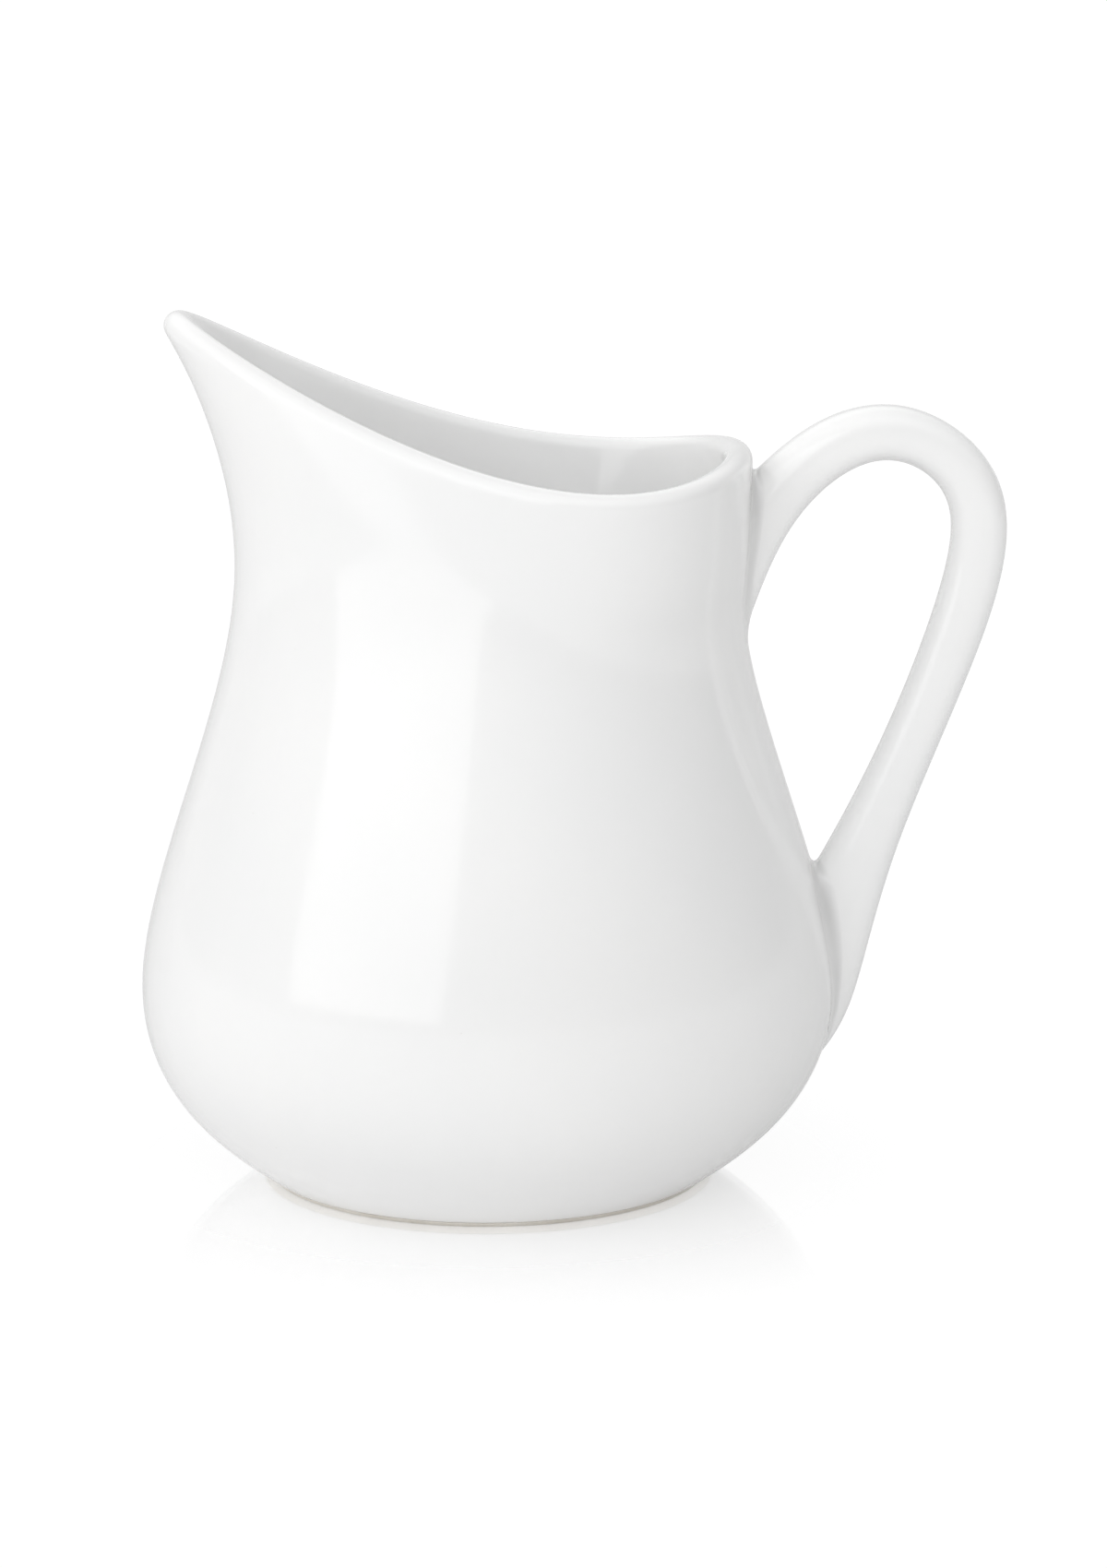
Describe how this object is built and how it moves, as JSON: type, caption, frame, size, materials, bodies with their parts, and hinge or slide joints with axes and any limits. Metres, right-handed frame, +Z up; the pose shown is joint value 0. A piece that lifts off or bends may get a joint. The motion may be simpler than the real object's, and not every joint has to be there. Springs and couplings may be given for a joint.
{
  "type": "ceramic pitcher",
  "caption": "White glazed pouring jug with a round belly, a pulled spout, a rolled lip and an ear-shaped strap handle.",
  "frame": {"origin": "centre of the foot, on the plane the jug stands on, under the axis of the belly", "axes": "+Z up along the belly's axis, -X towards the spout, +X towards the handle, Y = 0 is the mirror plane"},
  "size_m": [0.1298, 0.1046, 0.1308],
  "materials": {
    "glaze": "clear gloss glaze on white porcelain",
    "handle_glaze": "clear gloss glaze on white porcelain",
    "bisque": "unglazed fired porcelain, ground flat"
  },
  "bodies": {
    "root": {"body": "glaze", "handle": "handle_glaze", "upper_handle_join": "handle_glaze", "lower_handle_join": "handle_glaze", "foot_ring": "bisque"}
  },
  "joints": []
}
